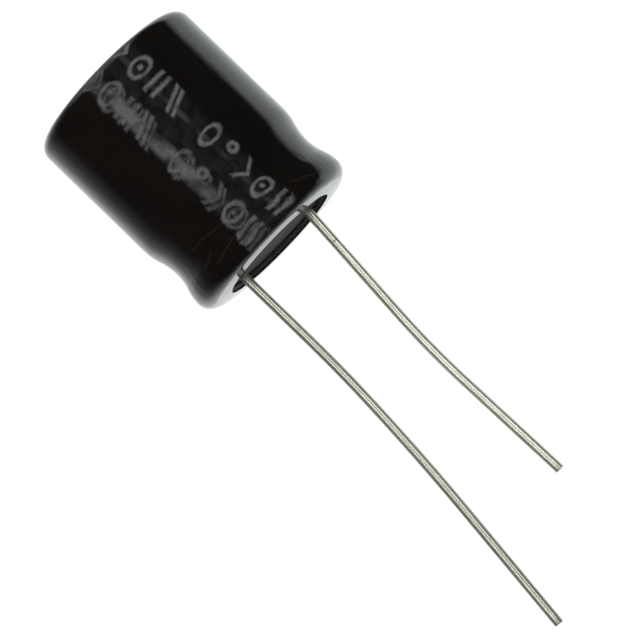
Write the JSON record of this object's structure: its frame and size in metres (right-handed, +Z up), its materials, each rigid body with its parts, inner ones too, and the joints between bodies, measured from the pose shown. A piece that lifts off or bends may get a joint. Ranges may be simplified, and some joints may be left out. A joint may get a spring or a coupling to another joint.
{
  "type": "electrolytic capacitor",
  "caption": "Radial aluminium electrolytic capacitor in a glossy black shrunk sleeve, with a rolled bead near the base, a scored vent and one long and one short wire lead.",
  "frame": {"origin": "centre of the seat at the base of the sleeve, on the can's axis", "axes": "+Z up the can's axis towards the vent, +X from the anode (long) lead to the cathode (short) lead"},
  "size_m": [0.0164, 0.0164, 0.0581],
  "materials": {
    "sleeve": "gloss",
    "can": "satin",
    "bung": "satin",
    "tab": "satin",
    "lead": "bright tinned",
    "anode_foil": "matte",
    "cathode_foil": "matte",
    "paper": "matte",
    "tape": "satin"
  },
  "bodies": {
    "root": {"sleeve": "sleeve", "can": "can", "bung": "bung", "anode_tab": "tab", "cathode_tab": "tab", "anode_lead": "lead", "cathode_lead": "lead", "anode_foil": "anode_foil", "cathode_foil": "cathode_foil", "inner_separator": "paper", "outer_separator": "paper", "closing_tape": "tape"}
  },
  "joints": []
}
